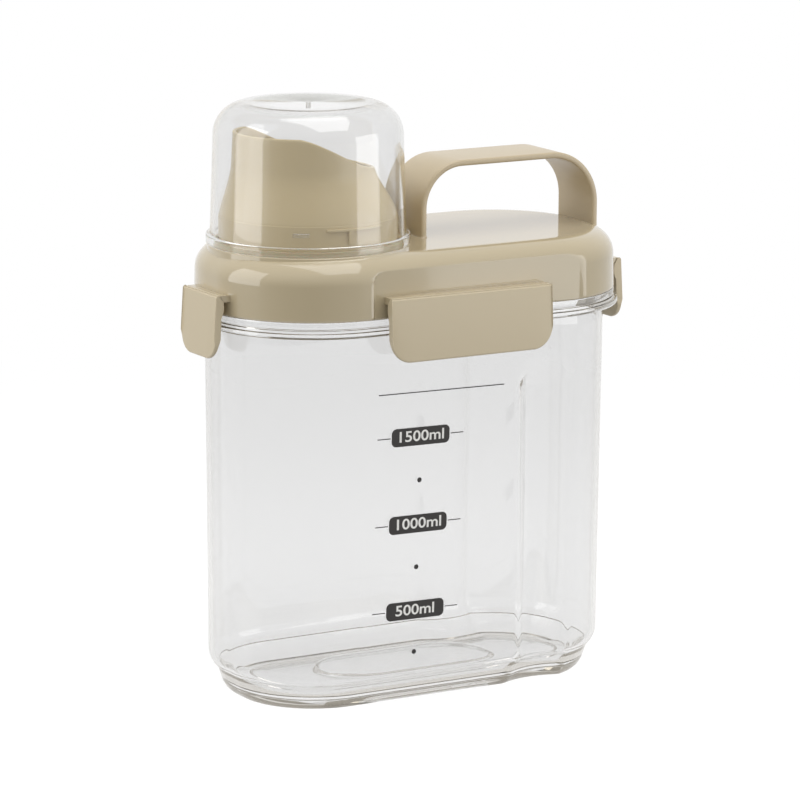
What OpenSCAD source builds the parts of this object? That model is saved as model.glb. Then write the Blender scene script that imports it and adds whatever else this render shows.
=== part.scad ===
// Oblong cereal jar with a latched lid, a carry handle and a pour spout under a clear measuring cup.
// Millimetres. Origin: middle of the base, +Z up, +X towards the handle, -Y is the front.

/* [Part] */
// Sub-part to draw, or all of them

/* [Jar] */
// Jar length over the walls, just under the rim
jar_length = 175; // [140:1:220]
// Jar width over the walls, just under the rim
jar_width = 89.8; // [70:0.2:120]
// Radius of the four upright corners of the jar
corner_r = 41.4; // [25:0.1:44]
// How far each wall leans in from rim to shoulder
draft = 1.1; // [0:0.1:3]
// Wall thickness of the jar
jar_wall = 1.8; // [1:0.1:3]
// Height of the collar's top face, where the lid comes to rest
collar_top = 164.1; // [120:0.1:200]
// Height of the crease between wall and foot
crease_z = 10.3; // [5:0.1:20]
// Depth of each hand-grip dent
grip_depth = 5.2; // [2:0.1:10]
// Width of each hand-grip dent where it meets the wall
grip_width = 28.4; // [15:0.2:40]
// Distance of the dents' middle from the jar's middle
grip_x = 43.6; // [20:0.2:60]

/* [Lid] */
// Height of the lid, from the skirt's lower edge to the flat top
lid_height = 24.8; // [20:0.1:40]
// Skirt: how far its lower edge stands out from the jar wall
skirt_out = 4.5; // [3:0.1:6]
// How far the round seat under the measuring cup stands above the flat top
seat_rise = 0.1; // [0.05:0.05:2]
// Lid to collar gap
lid_gap = 0.1; // [0.05:0.05:0.5]

/* [Latches] */
// Width of the front and back latches
long_latch = 76; // [40:1:90]
// Width of the two end latches
end_latch = 29.4; // [20:0.2:50]
// Length of a latch, from its hinge line to its lower edge
latch_length = 25.8; // [18:0.1:34]
// Radius of a latch's lower corners
latch_corner = 9; // [3:0.5:12]

/* [Handle] */
// How far the handle's top face stands above the lid
handle_rise = 31.2; // [20:0.1:50]
// Width of the strap across the lid
handle_width = 27.8; // [18:0.2:40]
// Thickness of the strap
handle_thick = 2.6; // [2:0.1:5]
// Outer face of the leg next to the cup
handle_left = -0.6; // [-2:0.1:5]
// Outer face of the leg at the end of the lid
handle_right = 85.4; // [70:0.1:88]
// Outer radius of the bend next to the cup
handle_left_r = 19.5; // [8:0.1:25]
// Outer radius of the bend at the end of the lid
handle_right_r = 22.6; // [8:0.1:30]

/* [Spout and cup] */
// Radius of the spout's foot
spout_r = 36.9; // [34:0.1:38]
// How far the spout's high lip stays below the cup's top
lip_drop = 11.5; // [6:0.1:20]
// Wall thickness of the spout
spout_wall = 1.6; // [1:0.1:3]
// Height of the measuring cup above its seat
cup_height = 58.1; // [50:0.1:80]
// How far the cup's rim flange stands out from its wall
flange_out = 1.7; // [0.5:0.1:3]
// Spout's foot to the outside of the cup
cup_room = 3.5; // [2.5:0.1:6]
// Wall thickness of the cup
cup_wall = 1.6; // [1:0.1:3]

/* [Hidden] */
$fn = 96;
eps = 0.01;
clear_plastic = [0.85, 0.88, 0.88, 0.35];
beige = [0.76, 0.71, 0.62];
silicone = [0.88, 0.87, 0.84];

half_l = jar_length / 2;
half_w = jar_width / 2;
corner_x = half_l - corner_r;
corner_y = half_w - corner_r;

// Jar walls
foot_fillet = 9;                        // outer fillet between wall and crease
crease_angle = 48;                      // how far round that fillet the crease sits
wall_start = crease_z + foot_fillet * sin(crease_angle);
wall_r0 = corner_r - draft;             // corner radius where the wall starts
neck_start = collar_top - 14.1;         // above this the wall is upright
jar_top = collar_top + 7.5;
floor_z = 4.0;
floor_under = 2.2;
pill_rise = 1.4;
pill_r = 20;
pill_x = 20;

// Grip dent: a vertical groove whose section is a circle
grip_r = (pow(grip_width / 2, 2) + pow(grip_depth, 2)) / (2 * grip_depth);
grip_y = half_w - grip_depth + grip_r;
grip_top = collar_top - 21.6;
grip_dome = grip_top - grip_width / 2;

// Collar bands, as offsets from the neck wall
bead_out = 6.2;
bead_low = collar_top - 6.5;

// Lid
lid_bottom = collar_top + lid_gap;
plateau_z = lid_bottom + lid_height;
handle_top = plateau_z + handle_rise;
shoulder_r = 11;
skirt_top = plateau_z - shoulder_r;
skirt_lean = 0.3;
lid_inner = 1.2;                        // inside face of the skirt, from the jar wall
lid_skin = 2.2;
lid_under = plateau_z - lid_skin;
seat_z = plateau_z + seat_rise;
cup_top = seat_z + cup_height;
cup_foot_r = spout_r + cup_room;
cup_top_r = cup_foot_r - 1.2;
flange_r = cup_foot_r + flange_out;
seat_r = flange_r - 0.5;
plug_out = -3.0;
plug_wall = 1.8;
plug_low = collar_top + 2;
panel_y = 2.7;                          // flat panels, from the jar wall
panel_high = plateau_z - 5.8;
panel_left = -43;
panel_right = 57;
panel_r = 5.5;
gasket_low = plug_low + 1.3;
gasket_h = 3.2;
gasket_fit = 0.05;                      // a lip's tip to the inside of the jar

// Latches, in (distance out from the jar wall, height)
hinge_out = 8.3;
hinge_z = lid_bottom + 7.9;
latch_bottom = hinge_z - latch_length;
bead_r = 0.6;                           // round edge of a flap, on the hinge line
shelf_top = hinge_z + 0.8;
shelf_low = hinge_z - 2;
shelf_out = 7.6;
flap_out = 10.6;
hook_gap = 0.12;
fold_gap = 0.8;

// Spout and cup
axis_past = 0.5;                        // the cup's axis lies this far beyond the corners' centres
axis_x = -corner_x - axis_past;
spout_bore = spout_r - 1.9;
foot_top = plateau_z + 12.4;
spout_root = 1;                         // how deep the tube is set in the foot ring
flare_r = spout_r - 0.15;
flare_high = foot_top + 20.6;
neck_r = 29.3;
neck_shift = 2.6;                       // the neck leans away from the handle
neck_taper = 0.05;
lip_z = cup_top - lip_drop;
lip_round = 0.4;
mouth_slope = 0.21;
mouth_step = 6.4;
cup_low = seat_z + 0.1;
flange_h = 4.1;
cup_fillet = 13.3;
lug_angle = -128;
lug_span = 10;
lug_fit = 0.3;                          // lug to spout
rib_angle = -107.4;
rib_span = 39;
rib_z = foot_top - 2.2;
rib_h = 1;
rib_out = 0.7;
stop_angle = -93.3;
stop_h = 5.4;
stop_out = 0.6;
ring_steps = 72;
flare_rows = 13;

function smooth(t) = t <= 0 ? 0 : t >= 1 ? 1 : t * t * (3 - 2 * t);
function clamp(t) = max(0, min(1, t));
function arc(cx, cz, r, a0, a1, n) = [for (i = [0 : n]) let(a = a0 + (a1 - a0) * i / n)
    [cx + r * cos(a), cz + r * sin(a)]];

// Foot and shoulder of the jar, as (inset from the wall, height), from the ground up
function foot_points() = concat(
    [[8.7, 0], [7.5, 0.7], [6.5, 1.9], [5.4, 4.2], [4.5, 6.6], [3.8, crease_z - 1.3],
        [3.4, crease_z - 0.1]],
    [for (i = [0 : 6]) let(a = crease_angle * (1 - i / 6))
        [foot_fillet * (1 - cos(a)), wall_start - foot_fillet * sin(a)]]);

// The same shape on the inside of the wall
function foot_inside() = concat(
    [[11.6, floor_z], [9.9, 4.3], [8.3, 5.6]],
    [for (i = [0 : 6]) let(a = crease_angle * (1 - i / 6))
        [foot_fillet - (foot_fillet - jar_wall) * cos(a),
            wall_start - (foot_fillet - jar_wall) * sin(a)]]);

// Sweeps a (radius, height) section round the jar's oblong plan
module oblong_sweep() {
    for (q = [0 : 3])
        translate([(q == 0 || q == 3) ? corner_x : -corner_x, q < 2 ? corner_y : -corner_y, 0])
            rotate([0, 0, 90 * q])
                rotate_extrude(angle = 90) children();
    for (s = [0, 180]) rotate([0, 0, s]) {
        translate([-corner_x, corner_y, 0]) rotate([90, 0, 90])
            linear_extrude(height = 2 * corner_x) children();
        translate([corner_x, corner_y, 0]) rotate([90, 0, 0])
            linear_extrude(height = 2 * corner_y) children();
    }
}

// Fills the middle of a swept solid
module oblong_core(low, high) {
    translate([-corner_x, -corner_y, low]) cube([2 * corner_x, 2 * corner_y, high - low]);
}

module jar_outside() {
    oblong_sweep() polygon(concat(
        [[0, 0]],
        [for (p = foot_points()) [wall_r0 - p[0], p[1]]],
        [[corner_r, neck_start], [corner_r, bead_low - 0.8],
            [corner_r + bead_out - 0.9, bead_low], [corner_r + bead_out, bead_low + 0.7],
            [corner_r + bead_out, bead_low + 1.5], [corner_r + bead_out - 0.8, bead_low + 2.1],
            [corner_r + 4.7, bead_low + 2.2], [corner_r + 4.7, bead_low + 3.1],
            [corner_r + 3.8, bead_low + 3.3], [corner_r + 3.8, bead_low + 3.7],
            [corner_r + skirt_out, bead_low + 3.8], [corner_r + skirt_out, collar_top - 0.3],
            [corner_r + skirt_out - 0.3, collar_top],
            [corner_r, collar_top], [corner_r, jar_top - 0.5], [corner_r - 0.5, jar_top],
            [0, jar_top]]));
    oblong_core(0, jar_top);
}

module jar_inside() {
    oblong_sweep() polygon(concat(
        [[0, floor_z]],
        [for (p = foot_inside()) [wall_r0 - p[0], p[1]]],
        [[corner_r - jar_wall, neck_start], [corner_r - jar_wall, jar_top + 1],
            [0, jar_top + 1]]));
    oblong_core(floor_z, jar_top + 1);
}

// Groove of a grip dent; grow is the wall thickness when it shapes the inside
module grip_dent(side, grow, points) {
    translate([grip_x, side * grip_y, 0]) rotate_extrude() polygon(concat(
        [[0, -1], [grip_r + points[0][0], -1]],
        [for (p = points) [grip_r + p[0], p[1]]],
        arc(0, grip_dome, grip_r + grow, 0, 90, 10)));
}

module pill(r, low, high) {
    for (s = [-1, 1]) translate([s * pill_x, 0, low]) cylinder(r = r, h = high - low);
    translate([-pill_x, -r, low]) cube([2 * pill_x, 2 * r, high - low]);
}

module jar() {
    color(clear_plastic) difference() {
        jar_outside();
        for (side = [-1, 1]) grip_dent(side, 0, foot_points());
        difference() {
            jar_inside();
            for (side = [-1, 1]) grip_dent(side, jar_wall, foot_inside());
            pill(pill_r, floor_z - 1, floor_z + pill_rise);
        }
        // hollow under the foot, inside its standing ring
        oblong_sweep() polygon([[0, -1], [wall_r0 - 17, -1], [wall_r0 - 17.6, floor_under],
            [0, floor_under]]);
        oblong_core(-1, floor_under);
        pill(pill_r - jar_wall, -1, floor_under + pill_rise);
    }
}

module dome_outside() {
    oblong_sweep() polygon(concat(
        [[0, lid_bottom], [corner_r + skirt_out, lid_bottom]],
        arc(corner_r + skirt_out - skirt_lean - shoulder_r, skirt_top, shoulder_r, 0, 90, 10),
        [[0, plateau_z]]));
    oblong_core(lid_bottom, plateau_z);
    translate([axis_x, 0, 0]) rotate_extrude() polygon([[0, seat_z - 6], [seat_r, seat_z - 6],
        [seat_r, seat_z - 0.6], [seat_r - 0.6, seat_z], [0, seat_z]]);
}

module dome_inside() {
    oblong_sweep() polygon([[0, lid_bottom - 1], [corner_r + lid_inner, lid_bottom - 1],
        [corner_r + lid_inner, skirt_top], [corner_r + lid_inner - 0.7, lid_under - 5.4],
        [corner_r + lid_inner - 3, lid_under - 2.4], [corner_r + lid_inner - 6.2, lid_under - 0.6],
        [corner_r + lid_inner - 9.6, lid_under], [0, lid_under]]);
    oblong_core(lid_bottom - 1, lid_under);
}

// Shallow flat on the skirt behind a long latch, open at the skirt's lower edge
module long_panel() {
    depth = 10;
    panel_low = lid_bottom - 1;
    translate([0, -half_w - panel_y - depth, 0]) {
        translate([panel_left, 0, panel_low])
            cube([panel_right - panel_left, depth, panel_high - panel_r - panel_low]);
        translate([panel_left + panel_r, 0, panel_low])
            cube([panel_right - panel_left - 2 * panel_r, depth, panel_high - panel_low]);
        for (x = [panel_left + panel_r, panel_right - panel_r])
            translate([x, 0, panel_high - panel_r]) rotate([-90, 0, 0])
                cylinder(r = panel_r, h = depth);
    }
}

module shelf(width) {
    rotate([90, 0, 90]) translate([0, 0, -width / 2 + 0.4])
        linear_extrude(height = width - 0.8)
            polygon([[-panel_y + 0.5, shelf_low], [-shelf_out + 1.7, shelf_low],
                [-shelf_out, shelf_low + 1.7], [-shelf_out, shelf_top],
                [-panel_y + 0.5, shelf_top]]);
}

// Puts a latch-side piece, drawn out along -Y, on each side of the jar
module on_side(side) {
    if (side == "front") translate([0, -half_w, 0]) children();
    if (side == "back") rotate([0, 0, 180]) translate([0, -half_w, 0]) children();
    if (side == "left") rotate([0, 0, -90]) translate([0, -half_l, 0]) children();
    if (side == "right") rotate([0, 0, 90]) translate([0, -half_l, 0]) children();
}

module lid() {
    color(beige) {
        difference() {
            dome_outside();
            dome_inside();
            long_panel();
            mirror([0, 1, 0]) long_panel();
            translate([axis_x, 0, lid_under - 1]) cylinder(r = spout_bore, h = seat_z - lid_under + 2);
        }
        oblong_sweep() polygon([[corner_r + plug_out - plug_wall, plug_low],
            [corner_r + plug_out, plug_low], [corner_r + plug_out, lid_under - 0.8],
            [corner_r + plug_out - plug_wall, lid_under - 0.8]]);
        on_side("front") shelf(long_latch);
        on_side("back") shelf(long_latch);
        on_side("left") shelf(end_latch);
        on_side("right") shelf(end_latch);
    }
}

// Solid arch, seen along Y; inset shrinks it for the opening
module arch(inset, wide) {
    rl = handle_left_r - inset;
    rr = handle_right_r - inset;
    x0 = handle_left + inset;
    x1 = handle_right - inset;
    top = handle_top - inset;
    low = plateau_z - 6 - inset;
    translate([0, -wide / 2, 0]) {
        translate([x0, 0, low]) cube([rl + eps, wide, top - rl - low]);
        translate([x1 - rr, 0, low]) cube([rr, wide, top - rr - low]);
        translate([x0 + rl, 0, low]) cube([x1 - rr - x0 - rl, wide, top - low]);
        translate([x0 + rl, 0, top - rl]) rotate([-90, 0, 0]) cylinder(r = rl, h = wide);
        translate([x1 - rr, 0, top - rr]) rotate([-90, 0, 0]) cylinder(r = rr, h = wide);
    }
}

module handle() {
    color(beige) difference() {
        arch(0, handle_width);
        arch(handle_thick, handle_width + 2);
        dome_outside();
    }
}

// Height of the slanted mouth at a distance along X from the cup's axis
function mouth(x) = lip_z - mouth_slope * max(0, x + 17.5) - mouth_step * smooth((x + 18.5) / 34);
function flare(z) = clamp((z - foot_top) / (flare_high - foot_top));
function spout_radius(z) = let(s = flare(z)) flare_r - neck_taper * max(0, z - flare_high)
    - (flare_r - neck_r) * (smooth(s) + 1 - pow(1 - s, 1.4)) / 2;
function spout_ring(a, z, inset) = let(r = spout_radius(z) - inset)
    [axis_x - neck_shift * smooth(flare(z)) + r * cos(a), r * sin(a), z];
function spout_lip(a) = mouth(-neck_shift + neck_r * cos(a));
function spout_row(k, a) = let(low = foot_top - spout_root)
    low + (spout_lip(a) - low - (k == flare_rows ? lip_round : 0)) * k / flare_rows;

// Flared tube from the foot ring to the slanted lip
module spout_tube() {
    n = ring_steps;
    outer = [for (k = [0 : flare_rows], i = [0 : n - 1]) let(a = 360 * i / n)
        spout_ring(a, spout_row(k, a), 0)];
    rim = [for (inset = [lip_round, spout_wall - lip_round], i = [0 : n - 1])
        let(a = 360 * i / n) spout_ring(a, spout_lip(a), inset)];
    inner = [for (k = [flare_rows : -1 : 0], i = [0 : n - 1]) let(a = 360 * i / n)
        spout_ring(a, spout_row(k, a), spout_wall)];
    rings = 2 * (flare_rows + 1) + 2;
    polyhedron(points = concat(outer, rim, inner),
        faces = [for (k = [0 : rings - 1], i = [0 : n - 1])
            let(j = (i + 1) % n, m = (k + 1) % rings)
            each [[k * n + i, m * n + i, m * n + j], [k * n + i, m * n + j, k * n + j]]],
        convexity = 6);
}

// Upright foot ring, with its bayonet ribs and stops
module spout_foot() {
    translate([axis_x, 0, 0]) {
        rotate_extrude() translate([spout_bore, seat_z])
            square([spout_r - spout_bore, foot_top - seat_z]);
        for (turn = [0, 180]) {
            rotate([0, 0, rib_angle + turn]) rotate_extrude(angle = rib_span)
                translate([spout_r - 1, rib_z]) square([1 + rib_out, rib_h]);
            rotate([0, 0, stop_angle + turn]) rotate_extrude(angle = 3)
                translate([spout_r - 0.8, rib_z - stop_h]) square([0.8 + stop_out, stop_h + 0.3]);
        }
    }
}

module spout() {
    color(beige) {
        spout_foot();
        spout_tube();
    }
}

module gasket() {
    back = corner_r + plug_out;
    lip = corner_r - jar_wall - gasket_fit;
    top = gasket_low + gasket_h;
    color(silicone) oblong_sweep() polygon([
        [back, gasket_low], [lip - 0.4, gasket_low + 0.1], [lip, gasket_low + 0.7],
        [lip - 0.5, gasket_low + 1.4], [lip - 0.5, top - 1.4], [lip, top - 0.7],
        [lip - 0.4, top - 0.1], [back, top]]);
}

module measuring_cup() {
    color(clear_plastic) {
        translate([axis_x, 0, 0]) rotate_extrude() polygon(concat(
            [[cup_foot_r - 1.5, cup_low], [flange_r - 0.4, cup_low], [flange_r, cup_low + 0.4],
                [flange_r, cup_low + flange_h - 0.4], [flange_r - 0.4, cup_low + flange_h],
                [cup_foot_r, cup_low + flange_h]],
            arc(cup_top_r - cup_fillet, cup_top - cup_fillet, cup_fillet, 0, 90, 12),
            [[1, cup_top], [0.9, cup_top + 0.3], [0, cup_top + 0.3], [0, cup_top - cup_wall]],
            arc(cup_top_r - cup_fillet, cup_top - cup_fillet, cup_fillet - cup_wall, 90, 0, 12),
            [[cup_foot_r - cup_wall, cup_low + flange_h]]));
        translate([axis_x, 0, 0]) for (turn = [0, 180])
            rotate([0, 0, lug_angle + turn]) rotate_extrude(angle = lug_span)
                translate([spout_r + lug_fit, rib_z - 1.9])
                    square([cup_foot_r - cup_wall / 2 - spout_r - lug_fit, 1.4]);
    }
}

module cup_seal() {
    color(silicone) translate([axis_x, 0, 0]) rotate_extrude()
        polygon([[spout_r + 0.15, cup_low + 0.1], [cup_foot_r - cup_wall, cup_low + 0.1],
            [cup_foot_r - cup_wall - 0.1, cup_low + 2.1], [spout_r + 0.35, cup_low + 2.1]]);
}

module flap(width) {
    reach = 14;
    intersection() {
        union() {
            rotate([90, 0, 90]) translate([0, 0, -width / 2]) linear_extrude(height = width)
                polygon([[-hinge_out - bead_r, hinge_z], [-flap_out, latch_bottom + 0.8],
                    [-flap_out + 0.2, latch_bottom + 0.1], [-flap_out + 1.7, latch_bottom],
                    [-flap_out + 1.9, latch_bottom + 0.7], [-shelf_out - 0.3, shelf_low - 6.6],
                    [-shelf_out + 0.9, shelf_low - 3.7], [-shelf_out + 1.1, shelf_low - 1.5],
                    [-shelf_out + 1.7 - fold_gap, shelf_low],
                    [-hinge_out, hinge_z - bead_r]]);
            translate([-width / 2, -hinge_out, hinge_z]) rotate([0, 90, 0])
                cylinder(r = bead_r, h = width);
            rotate([90, 0, 90]) translate([0, 0, -width / 2 + 5])
                linear_extrude(height = width - 10)
                    polygon([[-flap_out + 1.4, bead_low + 0.3],
                        [-bead_out - hook_gap, bead_low - 0.3],
                        [-bead_out - hook_gap, bead_low - 1],
                        [-bead_out - 1.2, bead_low - 2.6], [-flap_out + 1.4, bead_low - 3.4]]);
        }
        translate([-width / 2, -reach, 0]) {
            translate([0, 0, latch_bottom + latch_corner])
                cube([width, reach, hinge_z + 1 - latch_bottom - latch_corner]);
            translate([latch_corner, 0, latch_bottom])
                cube([width - 2 * latch_corner, reach, hinge_z + 1 - latch_bottom]);
            for (x = [latch_corner, width - latch_corner])
                translate([x, 0, latch_bottom + latch_corner]) rotate([-90, 0, 0])
                    cylinder(r = latch_corner, h = reach);
        }
    }
}

module film(width) {
    rotate([90, 0, 90]) translate([0, 0, -width / 2 + 0.5])
        linear_extrude(height = width - 1) difference() {
            translate([-hinge_out, shelf_top - 0.5])
                square([hinge_out - shelf_out, 0.5]);
            translate([-hinge_out, hinge_z]) circle(r = bead_r + 0.05);
        }
}

module latch_front() { color(beige) on_side("front") flap(long_latch); }
module latch_back() { color(beige) on_side("back") flap(long_latch); }
module latch_left() { color(beige) on_side("left") flap(end_latch); }
module latch_right() { color(beige) on_side("right") flap(end_latch); }
module film_front() { color(beige) on_side("front") film(long_latch); }
module film_back() { color(beige) on_side("back") film(long_latch); }
module film_left() { color(beige) on_side("left") film(end_latch); }
module film_right() { color(beige) on_side("right") film(end_latch); }

jar();
lid();
handle();
spout();
gasket();
measuring_cup();
cup_seal();
latch_front();
latch_back();
latch_left();
latch_right();
film_front();
film_back();
film_left();
film_right();
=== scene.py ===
"""Looks of an oblong cereal jar with a pour spout.

A clear moulded jar and measuring cup, a glossy beige lid, a smooth handle and spout,
and four satin latches on film hinges.
"""
from math import cos, hypot, pi, radians, sin, sqrt, tan

import bmesh
import bpy
from mathutils import Matrix, Vector


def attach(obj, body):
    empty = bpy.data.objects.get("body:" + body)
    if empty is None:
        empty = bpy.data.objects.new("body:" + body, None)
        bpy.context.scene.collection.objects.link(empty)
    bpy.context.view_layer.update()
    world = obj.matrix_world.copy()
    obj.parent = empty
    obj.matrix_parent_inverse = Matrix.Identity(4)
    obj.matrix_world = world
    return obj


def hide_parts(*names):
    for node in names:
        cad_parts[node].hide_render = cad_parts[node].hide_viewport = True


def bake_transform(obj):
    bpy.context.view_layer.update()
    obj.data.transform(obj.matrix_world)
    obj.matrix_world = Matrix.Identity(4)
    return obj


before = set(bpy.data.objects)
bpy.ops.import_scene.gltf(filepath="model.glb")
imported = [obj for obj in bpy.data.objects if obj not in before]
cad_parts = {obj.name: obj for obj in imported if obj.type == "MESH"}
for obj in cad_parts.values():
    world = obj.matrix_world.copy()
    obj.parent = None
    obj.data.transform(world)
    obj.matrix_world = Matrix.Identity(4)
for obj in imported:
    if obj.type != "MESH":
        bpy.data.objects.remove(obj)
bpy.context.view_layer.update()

# Sizes are in millimetres and angles in degrees, unless a comment says otherwise
MM = 0.001

# Plan of the jar: four upright corners joined by flat walls
CORNER_X = 46.1
CORNER_Y = 3.5
WALL_R = 41.4          # corner radius of the wall under the rim
WALL_LOW_R = 40.3      # the same at the shoulder of the foot
WALL = 1.8
SHOULDER_Z = 17.0
FOOT_R = 9.0           # fillet between the wall and the crease
FOOT_TURN = 47         # how far round that fillet goes
NECK_Z = 150.0
SIDES = {"front": (CORNER_Y, 0), "right": (CORNER_X, 90),
         "back": (CORNER_Y, 180), "left": (CORNER_X, -90)}

# Axis of the spout and the measuring cup, and the pour opening round it
CUP_X = -46.6
BORE_R = 35.0
SEAT_TOP = 189.1


# ---------- shapes ----------

FILLET_STEPS = 5
FILLET_SHARE = 0.49    # the most of an edge that one fillet takes up


def arc(cx, cz, r, start, end, steps):
    """Points on a round stretch of a profile."""
    turns = [radians(start + (end - start) * i / steps) for i in range(steps + 1)]
    return [(cx + r * cos(a), cz + r * sin(a)) for a in turns]


def filleted(corners, closed=False):
    """Rounds a profile's corners. Each corner is (r, z) or (r, z, fillet radius)."""
    points = []
    n = len(corners)
    for i, corner in enumerate(corners):
        p = Vector(corner[:2])
        fillet = corner[2] if len(corner) > 2 else 0
        if not fillet or (not closed and i in (0, n - 1)):
            points.append(tuple(p))
            continue
        back = Vector(corners[i - 1][:2]) - p
        ahead = Vector(corners[(i + 1) % n][:2]) - p
        half = back.angle(ahead) / 2
        reach = min(fillet / tan(half), back.length * FILLET_SHARE, ahead.length * FILLET_SHARE)
        start = p + back.normalized() * reach
        end = p + ahead.normalized() * reach
        for k in range(FILLET_STEPS + 1):
            t = k / FILLET_STEPS
            points.append(tuple(start * (1 - t) ** 2 + p * 2 * t * (1 - t) + end * t ** 2))
    return points


def oblong(half_x, half_y, long_steps, corner_steps, end_steps):
    """Stations round a rounded rectangle, from the left end of its front wall.

    Each is a point of the plain rectangle and its direction out: (x, y, out x, out y).
    """
    corners = [(-half_x, -half_y), (half_x, -half_y), (half_x, half_y), (-half_x, half_y)]
    stations = []
    for k, out in enumerate([(0.0, -1.0), (1.0, 0.0), (0.0, 1.0), (-1.0, 0.0)]):
        (ax, ay), (bx, by) = corners[k], corners[(k + 1) % 4]
        steps = (long_steps, end_steps)[k % 2]
        for i in range(steps):
            stations.append((ax + (bx - ax) * i / steps, ay + (by - ay) * i / steps, *out))
        for i in range(corner_steps):
            a = radians(90 * (k - 1) + 90 * i / corner_steps)
            stations.append((bx, by, cos(a), sin(a)))
    return stations


def circle(cx, steps):
    """Stations round an upright axis at (cx, 0)."""
    return [(cx, 0.0, cos(2 * pi * i / steps), sin(2 * pi * i / steps)) for i in range(steps)]


def ring(stations, r, z):
    """A level loop of points, each r out from its station."""
    return [(cx + nx * r, cy + ny * r, z) for cx, cy, nx, ny in stations]


def loft(rings, close_ends=True, close_loop=False):
    """Skins a stack of rings that have as many points each."""
    n = len(rings[0])
    points = [p for one in rings for p in one]
    faces = []
    count = len(rings)
    for k in range(count if close_loop else count - 1):
        m = (k + 1) % count
        for i in range(n):
            j = (i + 1) % n
            faces.append((k * n + i, k * n + j, m * n + j, m * n + i))
    if close_ends and not close_loop:
        faces.append(tuple(reversed(range(n))))
        faces.append(tuple(range((count - 1) * n, count * n)))
    return points, faces


def join(*parts):
    """One mesh's points and faces from several."""
    points, faces = [], []
    for part_points, part_faces in parts:
        base = len(points)
        points += part_points
        faces += [tuple(base + v for v in face) for face in part_faces]
    return points, faces


def extrude_x(outline, low, high):
    """A bar along X whose section is a closed outline in (y, z)."""
    return loft([[(x, y, z) for y, z in outline] for x in (low, high)])


def arc_bar(r0, r1, z0, z1, start, end):
    """A short rib round the cup's axis."""
    steps = max(2, int(abs(end - start) / 2))
    section = filleted([(r0, z0), (r1, z0, 0.25), (r1, z1, 0.25), (r0, z1)], closed=True)
    turns = [radians(start + (end - start) * i / steps) for i in range(steps + 1)]
    return loft([[(CUP_X + cos(a) * r, sin(a) * r, z) for r, z in section] for a in turns])


def side_of_jar(side):
    """How far out the wall under the rim is on a side, and the turn that takes the front there."""
    corner, turn = SIDES[side]
    return WALL_R + corner, Matrix.Rotation(radians(turn), 3, "Z")


def turned(part, side):
    """Turns a piece made for the front to another side of the jar."""
    out, spin = side_of_jar(side)
    points, faces = part
    return [tuple(spin @ Vector((x, y - out, z))) for x, y, z in points], faces


def face_outwards(mesh):
    """Makes the faces of every closed shell point out."""
    work = bmesh.new()
    work.from_mesh(mesh)
    bmesh.ops.recalc_face_normals(work, faces=work.faces)
    work.to_mesh(mesh)
    work.free()


def piece(name, part, finish, body=None, replaced=(), sharp=32, closed=True):
    """Makes a piece from its points and faces; edges that turn by more than sharp stay crisp."""
    points, faces = part
    mesh = bpy.data.meshes.new(name)
    mesh.from_pydata([Vector(p) * MM for p in points], [], faces)
    mesh.validate()
    mesh.update()
    mesh.materials.append(finish)
    mesh.shade_smooth()
    mesh.set_sharp_from_angle(angle=radians(sharp))
    if closed:
        face_outwards(mesh)
    obj = bpy.data.objects.new(name, mesh)
    bpy.context.scene.collection.objects.link(obj)
    if body:
        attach(obj, body)
    if replaced:
        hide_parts(*replaced)
    return obj


def share(value, low, high):
    """How far a value is on the way from low to high, between 0 and 1."""
    return min(max((value - low) / (high - low), 0), 1)


def smooth(t):
    """Goes from 0 to 1 with a soft start and a soft end."""
    t = min(max(t, 0.0), 1.0)
    return t * t * (3 - 2 * t)


def blend_min(a, b, width):
    """The lower of two values, with a soft change-over."""
    h = max(width - abs(a - b), 0.0) / width
    return min(a, b) - h * h * width / 4


# ---------- materials ----------

ABS_IOR = 1.53
SAN_IOR = 1.57
SILICONE_IOR = 1.41
INK_IOR = 1.5
FLOW_MM = 60           # flow marks of the molten plastic across a moulding
CLEAR_FLOW_MM = 28     # waves left in a clear wall by its mould
SINK_MM = 14           # waves where a beige wall drew in as it cooled
SPARK_MM = 1.2         # a spark-eroded grain is about 0.1 mm: drawn coarse, so that it shows
BLOOM_MM = 3           # cloudy patches on moulded silicone
SCREEN_MM = 0.8        # a printing screen's mesh is about 0.1 mm: drawn coarse, so that it shows
RAY_LIMIT = 7.5        # bounces that a ray may make in all before it goes straight out
GLOSSY_LIMIT = 1.5     # the same for its mirrored bounces


def srgb(code):
    """A hex colour as linear light."""
    values = [int(code[i:i + 2], 16) / 255 for i in (0, 2, 4)]
    linear = [v / 12.92 if v <= 0.04045 else ((v + 0.055) / 1.055) ** 2.4 for v in values]
    return (*linear, 1.0)


def node(tree, kind, settings=None, inputs=None):
    """Adds a node. Settings are its own values; inputs are its sockets, by name or number.

    An input is either a value or another node's socket to link it to.
    """
    new = tree.nodes.new(kind)
    for key, value in (settings or {}).items():
        setattr(new, key, value)
    for key, value in (inputs or {}).items():
        if isinstance(value, bpy.types.NodeSocket):
            tree.links.new(value, new.inputs[key])
        else:
            new.inputs[key].default_value = value
    return new


def material(name):
    """An empty material and its node tree."""
    new = bpy.data.materials.new(name)
    new.use_nodes = True
    new.node_tree.nodes.clear()
    return new, new.node_tree


def object_place(tree):
    """The place on the piece itself, in metres."""
    return node(tree, "ShaderNodeTexCoord").outputs["Object"]


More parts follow.
